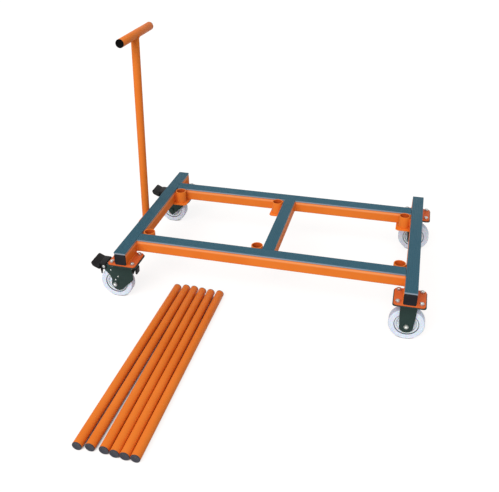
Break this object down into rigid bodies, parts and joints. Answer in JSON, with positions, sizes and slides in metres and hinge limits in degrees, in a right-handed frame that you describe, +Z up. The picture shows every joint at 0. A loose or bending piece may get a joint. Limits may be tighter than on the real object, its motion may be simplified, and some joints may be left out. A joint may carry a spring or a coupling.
{
  "type": "furniture dolly",
  "caption": "Low rectangular tube-frame furniture dolly with rubber-topped beams, braked swivel and rigid casters, a lift-out T-handle, stake sockets and loose tubular stakes.",
  "frame": {"origin": "centre of the load deck, on top of the middle rubber strip", "axes": "+X along the dolly from the handle end to the rigid-caster end, +Y across it away from the loose stakes, +Z up"},
  "size_m": [1.374, 1.5851, 1.0349],
  "materials": {
    "orange_powder_coat": "semi-gloss powder coat",
    "deck_rubber": "matt, lengthwise ribs",
    "black_plastic": "matt moulded",
    "zinc_steel": "zinc plated",
    "dark_green_steel": "satin coat",
    "wheel_core_nylon": "moulded",
    "wheel_tread_polyurethane": "milky, slightly translucent",
    "grey_plug_plastic": "matt moulded"
  },
  "bodies": {
    "frame": {"left_end_beam": "orange_powder_coat", "right_end_beam": "orange_powder_coat", "front_rail": "orange_powder_coat", "rear_rail": "orange_powder_coat", "middle_beam": "orange_powder_coat", "left_end_strip": "deck_rubber", "right_end_strip": "deck_rubber", "front_strip": "deck_rubber", "rear_strip": "deck_rubber", "middle_strip": "deck_rubber", "beam_end_caps": "black_plastic", "caster_mount_plates": "orange_powder_coat", "caster_plate_bolts": "zinc_steel", "caster_plate_nuts": "zinc_steel", "front_left_socket": "orange_powder_coat", "front_middle_socket": "orange_powder_coat", "front_right_socket": "orange_powder_coat", "rear_left_socket": "orange_powder_coat", "rear_middle_socket": "orange_powder_coat", "rear_right_socket": "orange_powder_coat", "handle_socket": "orange_powder_coat", "socket_base_plates": "orange_powder_coat", "front_swivel_plate": "dark_green_steel", "front_rigid_bracket": "dark_green_steel", "rear_swivel_plate": "dark_green_steel", "rear_rigid_bracket": "dark_green_steel", "rigid_axles": "zinc_steel", "swivel_king_bolts": "zinc_steel", "swivel_balls": "zinc_steel"},
    "front_fork": {"front_swivel_fork": "dark_green_steel", "front_swivel_lock_tongue": "black_plastic", "front_swivel_axle_and_pin": "zinc_steel"},
    "front_pedal": {"front_swivel_brake_pedal": "black_plastic"},
    "front_swivel_wheel": {"front_swivel_wheel_core": "wheel_core_nylon", "front_swivel_wheel_tread": "wheel_tread_polyurethane"},
    "front_rigid_wheel": {"front_rigid_wheel_core": "wheel_core_nylon", "front_rigid_wheel_tread": "wheel_tread_polyurethane"},
    "rear_fork": {"rear_swivel_fork": "dark_green_steel", "rear_swivel_lock_tongue": "black_plastic", "rear_swivel_axle_and_pin": "zinc_steel"},
    "rear_pedal": {"rear_swivel_brake_pedal": "black_plastic"},
    "rear_swivel_wheel": {"rear_swivel_wheel_core": "wheel_core_nylon", "rear_swivel_wheel_tread": "wheel_tread_polyurethane"},
    "rear_rigid_wheel": {"rear_rigid_wheel_core": "wheel_core_nylon", "rear_rigid_wheel_tread": "wheel_tread_polyurethane"},
    "handle": {"handle_pole": "orange_powder_coat", "handle_grip": "orange_powder_coat", "handle_grip_plugs": "black_plastic"},
    "stake_1": {"stake_1_tube": "orange_powder_coat", "stake_1_plugs": "grey_plug_plastic"},
    "stake_2": {"stake_2_tube": "orange_powder_coat", "stake_2_plugs": "grey_plug_plastic"},
    "stake_3": {"stake_3_tube": "orange_powder_coat", "stake_3_plugs": "grey_plug_plastic"},
    "stake_4": {"stake_4_tube": "orange_powder_coat", "stake_4_plugs": "grey_plug_plastic"},
    "stake_5": {"stake_5_tube": "orange_powder_coat", "stake_5_plugs": "grey_plug_plastic"},
    "stake_6": {"stake_6_tube": "orange_powder_coat", "stake_6_plugs": "grey_plug_plastic"}
  },
  "joints": [
    {"name": "front_swivel", "type": "hinge", "parent": "frame", "child": "front_fork", "pos_m": [-0.58, -0.345, -0.0792], "axis": [0, 0, 1], "continuous": true},
    {"name": "front_swivel_wheel_spin", "type": "hinge", "parent": "front_fork", "child": "front_swivel_wheel", "pos_m": [-0.627, -0.345, -0.176], "axis": [0, 1, 0], "continuous": true},
    {"name": "front_brake_pedal_press", "type": "hinge", "parent": "front_fork", "child": "front_pedal", "pos_m": [-0.671, -0.345, -0.0943], "axis": [0, -1, 0], "range_deg": [0, 18]},
    {"name": "front_rigid_wheel_spin", "type": "hinge", "parent": "frame", "child": "front_rigid_wheel", "pos_m": [0.58, -0.345, -0.176], "axis": [0, 1, 0], "continuous": true},
    {"name": "rear_swivel", "type": "hinge", "parent": "frame", "child": "rear_fork", "pos_m": [-0.58, 0.345, -0.0792], "axis": [0, 0, 1], "continuous": true},
    {"name": "rear_swivel_wheel_spin", "type": "hinge", "parent": "rear_fork", "child": "rear_swivel_wheel", "pos_m": [-0.627, 0.345, -0.176], "axis": [0, 1, 0], "continuous": true},
    {"name": "rear_brake_pedal_press", "type": "hinge", "parent": "rear_fork", "child": "rear_pedal", "pos_m": [-0.671, 0.345, -0.0943], "axis": [0, -1, 0], "range_deg": [0, 18]},
    {"name": "rear_rigid_wheel_spin", "type": "hinge", "parent": "frame", "child": "rear_rigid_wheel", "pos_m": [0.58, 0.345, -0.176], "axis": [0, 1, 0], "continuous": true},
    {"name": "handle_lift", "type": "slide", "parent": "frame", "child": "handle", "axis": [0.0332, 0, 0.9995], "range_m": [0, 0.08]},
    {"name": "stake_1_lift", "type": "slide", "parent": "frame", "child": "stake_1", "axis": [0, 0, 1], "range_m": [0, 0.1]},
    {"name": "stake_2_lift", "type": "slide", "parent": "frame", "child": "stake_2", "axis": [0, 0, 1], "range_m": [0, 0.1]},
    {"name": "stake_3_lift", "type": "slide", "parent": "frame", "child": "stake_3", "axis": [0, 0, 1], "range_m": [0, 0.1]},
    {"name": "stake_4_lift", "type": "slide", "parent": "frame", "child": "stake_4", "axis": [0, 0, 1], "range_m": [0, 0.1]},
    {"name": "stake_5_lift", "type": "slide", "parent": "frame", "child": "stake_5", "axis": [0, 0, 1], "range_m": [0, 0.1]},
    {"name": "stake_6_lift", "type": "slide", "parent": "frame", "child": "stake_6", "axis": [0, 0, 1], "range_m": [0, 0.1]}
  ]
}
